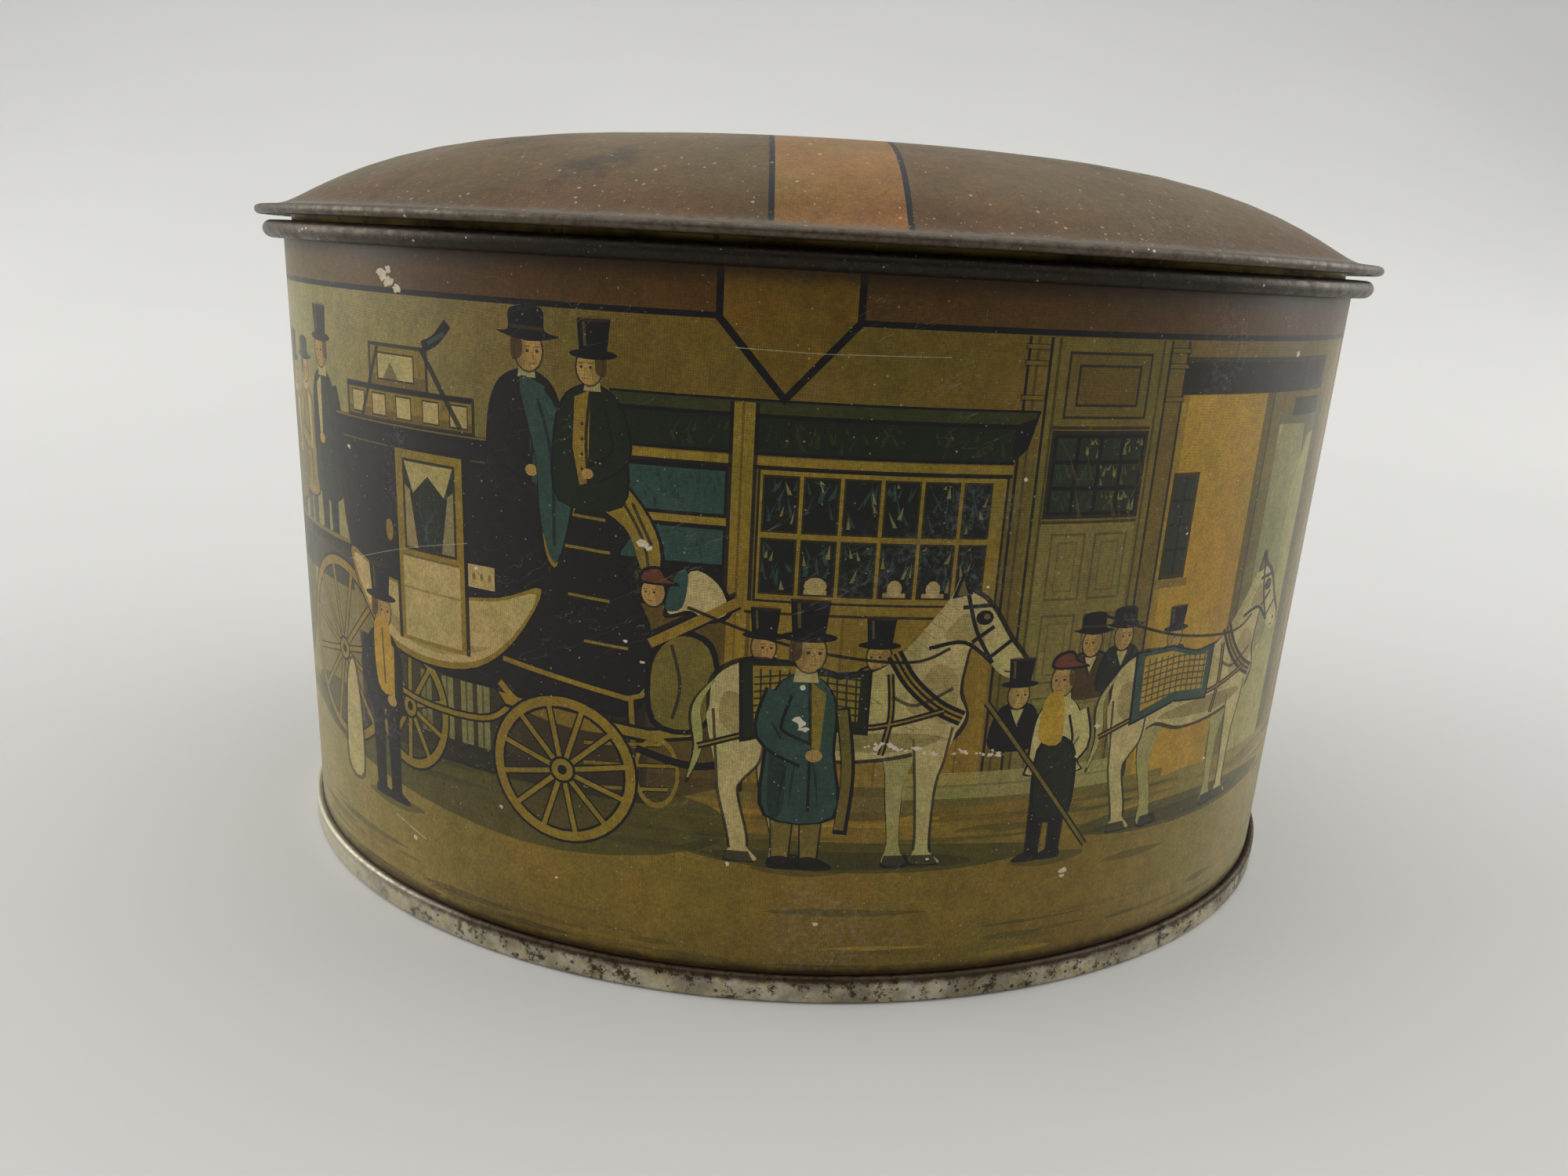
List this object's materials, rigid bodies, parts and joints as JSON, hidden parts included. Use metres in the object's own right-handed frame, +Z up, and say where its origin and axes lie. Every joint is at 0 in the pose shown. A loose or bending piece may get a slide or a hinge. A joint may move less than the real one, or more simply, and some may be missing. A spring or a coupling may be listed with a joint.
{
  "type": "oval lidded tin",
  "caption": "Oval straight-walled tin of printed tinplate with a beaded mouth, a seamed-on bottom and a domed lift-off lid that plugs inside it.",
  "frame": {"origin": "centre of the footprint, on the surface the tin stands on", "axes": "+Z up through the middle of the lid, +X along the oval's length, -Y towards the front of the print"},
  "size_m": [0.1148, 0.0928, 0.0727],
  "materials": {
    "printed_wall": "litho print on tinplate under aged varnish, bare worn bead",
    "bare_tinplate": "bare tinplate, dull, spotted",
    "printed_lid": "litho print on tinplate under aged varnish, worn dark flange edge",
    "lacquered_tinplate": "gold lacquer, semi-gloss"
  },
  "bodies": {
    "tin": {"body_wall": "printed_wall", "bottom": "bare_tinplate"},
    "cover": {"lid": "printed_lid", "plug_band": "lacquered_tinplate"}
  },
  "joints": [
    {"name": "lid_lift", "type": "slide", "parent": "tin", "child": "cover", "axis": [0, 0, 1], "range_m": [0, 0.04]}
  ]
}
